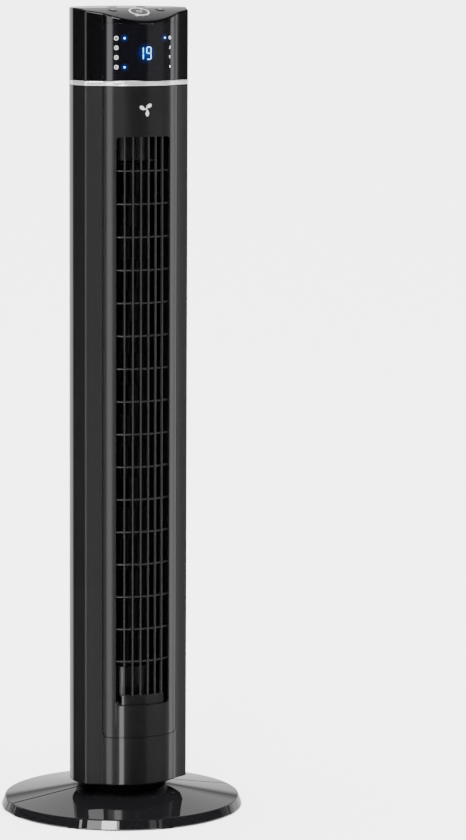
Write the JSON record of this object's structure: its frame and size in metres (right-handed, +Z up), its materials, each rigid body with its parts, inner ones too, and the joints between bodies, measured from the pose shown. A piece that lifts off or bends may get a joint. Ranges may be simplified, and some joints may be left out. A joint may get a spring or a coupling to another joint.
{
  "type": "tower fan",
  "caption": "Slim upright tower fan with a bowed outlet grille, a glossy control head and a turning tower on a round split base.",
  "frame": {"origin": "on the floor under the swing axis, at the centre of the round base", "axes": "+Z up the tower, -Y the way the air leaves, +X to the right seen from behind the outlet"},
  "size_m": [0.32, 0.321, 1.0608],
  "materials": {
    "base_gloss": "mirror-gloss black moulding",
    "housing_black": "semi-gloss black moulding",
    "panel_black": "semi-gloss black moulding",
    "grille_grey": "satin dark grey moulding",
    "head_gloss": "piano black moulding",
    "deck_gloss": "piano black moulding",
    "smoked_lens": "polished smoked acrylic",
    "chrome_trim": "bright chrome plating",
    "black_plastic": "fine-grained black moulding",
    "duct_black": "satin black moulding",
    "drum_black": "gloss black moulding",
    "wheel_black": "satin black moulding",
    "acetal": "natural acetal",
    "rubber": "soft matt rubber",
    "zinc_screw": "zinc-plated steel",
    "shaft_steel": "ground steel",
    "motor_can": "plated pressed steel",
    "lamination": "varnished steel laminations",
    "winding": "enamelled copper wire",
    "bronze": "oil-filled sintered bronze",
    "rotor_metal": "cast aluminium cage",
    "capacitor_shell": "pale grey case",
    "circuit_board": "green solder mask",
    "display_module": "black display housing",
    "light_pipe": "clear moulded light pipe",
    "button_silver": "silver-painted rim and cap",
    "button_black": "piano black cap",
    "switch_body": "black tact switch",
    "ion_case": "dark grey case"
  },
  "bodies": {
    "base": {"base_front": "base_gloss", "base_rear": "base_gloss", "rubber_feet": "rubber", "neck": "black_plastic", "base_nut": "black_plastic", "thrust_ring": "acetal", "swing_gear": "acetal", "gear_screws": "zinc_screw"},
    "tower": {"front_housing": "housing_black", "rear_housing": "housing_black", "rear_grille": "housing_black", "front_panel": "panel_black", "outlet_grille": "grille_grey", "chrome_band": "chrome_trim", "bottom_plate": "black_plastic", "plate_screws": "zinc_screw", "housing_screws": "zinc_screw", "cord_gland": "rubber", "swing_motor": "motor_can", "swing_motor_screws": "zinc_screw", "duct_floor": "duct_black", "scroll_wall": "duct_black", "vortex_tongue": "duct_black", "lower_end_block": "drum_black", "upper_end_block": "drum_black", "duct_ceiling": "duct_black", "bearing_rubber": "rubber", "upper_bush": "bronze", "motor_lower_cover": "motor_can", "motor_upper_cover": "motor_can", "motor_stator": "lamination", "motor_coils": "winding", "motor_bushes": "bronze", "motor_rubbers": "rubber", "motor_screws": "zinc_screw", "run_capacitor": "capacitor_shell", "power_board": "circuit_board", "board_bracket": "black_plastic", "display_board": "circuit_board", "digit_module": "display_module", "indicator_lights": "light_pipe", "display_lens": "smoked_lens", "infrared_receiver": "display_module", "ioniser": "ion_case", "head_shell": "head_gloss", "top_deck": "deck_gloss", "switch_board": "circuit_board", "tact_switches": "switch_body"},
    "blower": {"motor_rotor": "rotor_metal", "wheel_shaft": "shaft_steel", "wheel_lower_end": "wheel_black", "wheel_upper_end": "wheel_black", "blower_wheel": "wheel_black"},
    "pinion": {"swing_motor_shaft": "shaft_steel", "swing_pinion": "acetal"},
    "power_key": {"power_button": "button_silver"},
    "speed_key": {"speed_button": "button_black"},
    "timer_key": {"timer_button": "button_black"},
    "swing_key": {"swing_button": "button_black"},
    "mode_key": {"mode_button": "button_black"}
  },
  "joints": [
    {"name": "tower_swing", "type": "hinge", "parent": "base", "child": "tower", "pos_m": [0, 0, 0.05], "axis": [0, 0, 1], "range_deg": [-35, 35]},
    {"name": "blower_spin", "type": "hinge", "parent": "tower", "child": "blower", "pos_m": [0, -0.006, 0.5], "axis": [0, 0, 1], "continuous": true},
    {"name": "pinion_spin", "type": "hinge", "parent": "tower", "child": "pinion", "pos_m": [0, -0.039, 0.06], "axis": [0, 0, 1], "range_deg": [-118, 118]},
    {"name": "power_press", "type": "slide", "parent": "tower", "child": "power_key", "axis": [0, 0.3153, -0.949], "range_m": [0, 0.0012], "stiffness_N_per_m": 300, "springref_m": -0.0015},
    {"name": "speed_press", "type": "slide", "parent": "tower", "child": "speed_key", "axis": [0, 0.2266, -0.974], "range_m": [0, 0.0012], "stiffness_N_per_m": 300, "springref_m": -0.0015},
    {"name": "timer_press", "type": "slide", "parent": "tower", "child": "timer_key", "axis": [0, 0.2266, -0.974], "range_m": [0, 0.0012], "stiffness_N_per_m": 300, "springref_m": -0.0015},
    {"name": "swing_press", "type": "slide", "parent": "tower", "child": "swing_key", "axis": [0, 0, -1], "range_m": [0, 0.0012], "stiffness_N_per_m": 300, "springref_m": -0.0015},
    {"name": "mode_press", "type": "slide", "parent": "tower", "child": "mode_key", "axis": [0, 0, -1], "range_m": [0, 0.0012], "stiffness_N_per_m": 300, "springref_m": -0.0015}
  ],
  "couplings": [
    {"joint": "pinion_spin", "follows": "tower_swing", "ratio": 3.3333}
  ]
}
